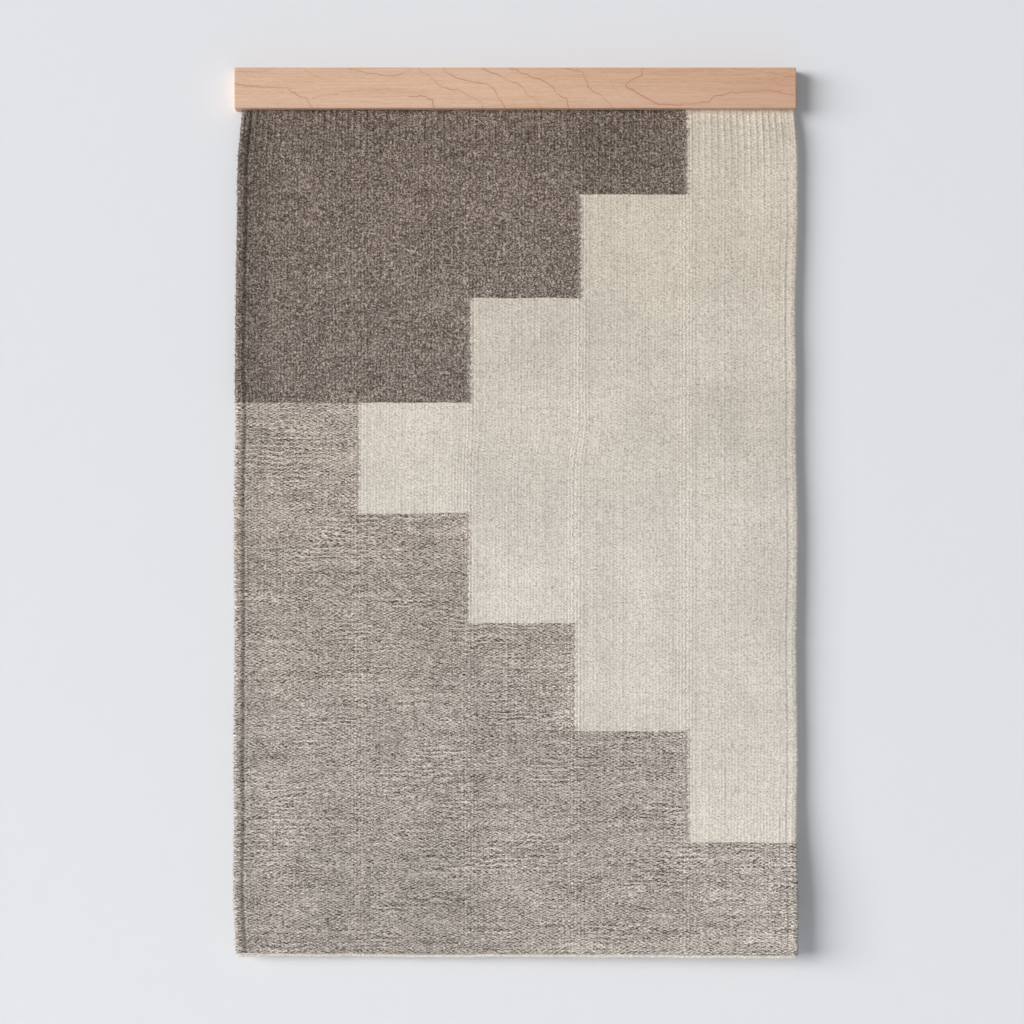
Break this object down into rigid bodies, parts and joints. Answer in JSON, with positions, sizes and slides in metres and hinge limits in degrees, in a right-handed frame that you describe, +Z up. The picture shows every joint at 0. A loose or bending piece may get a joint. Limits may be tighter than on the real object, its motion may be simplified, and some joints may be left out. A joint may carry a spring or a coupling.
{
  "type": "woven tapestry wall hanging",
  "caption": "Wool flatweave with a stepped colour-block pattern, clamped along its top edge in a flat maple bar that hangs by keyhole plates on wall screws; the cloth swings freely below it.",
  "frame": {"origin": "middle of the bar's flat rear face, the face that lies against the wall, halfway along the bar and halfway up it", "axes": "+Z up; +X to the right as a viewer faces the woven front; +Y into the wall, so the bar and the cloth stand at negative y"},
  "size_m": [0.6102, 0.025, 0.9679],
  "materials": {
    "maple_face": "pale maple, sanded and oiled to a low sheen, long straight grain with fine reddish growth rings",
    "maple_back": "the same maple, sanded, left drier and plainer at the rear",
    "plate_steel": "stamped steel, satin, zinc-plated",
    "screw_zinc": "bright zinc-plated",
    "dark_wool": "marled grey-brown wool, weft-faced, matt and slightly fuzzy",
    "cream_wool": "undyed cream wool, weft-faced, matt and slightly fuzzy",
    "heather_wool": "two-ply heather grey wool, light and dark flecks in rows, matt",
    "heading_wool": "cream wool and warp yarn, twined, matt"
  },
  "bodies": {
    "hanger_bar": {"front_slat": "maple_face", "back_slat": "maple_back", "clamp_screw_1": "screw_zinc", "clamp_screw_2": "screw_zinc", "clamp_screw_3": "screw_zinc", "clamp_screw_4": "screw_zinc", "clamp_screw_5": "screw_zinc", "clamp_screw_6": "screw_zinc", "keyhole_plate_left": "plate_steel", "keyhole_plate_right": "plate_steel", "plate_screw_left_upper": "screw_zinc", "plate_screw_left_lower": "screw_zinc", "plate_screw_right_upper": "screw_zinc", "plate_screw_right_lower": "screw_zinc", "clamped_heading": "heading_wool"},
    "tapestry": {"dark_field": "dark_wool", "cream_field": "cream_wool", "heather_field": "heather_wool", "bottom_heading_cord": "heading_wool"}
  },
  "joints": [
    {"name": "tapestry_swing", "type": "hinge", "parent": "hanger_bar", "child": "tapestry", "pos_m": [0, -0.0115, -0.024], "axis": [-1, 0, 0], "range_deg": [-0.5, 75]}
  ]
}
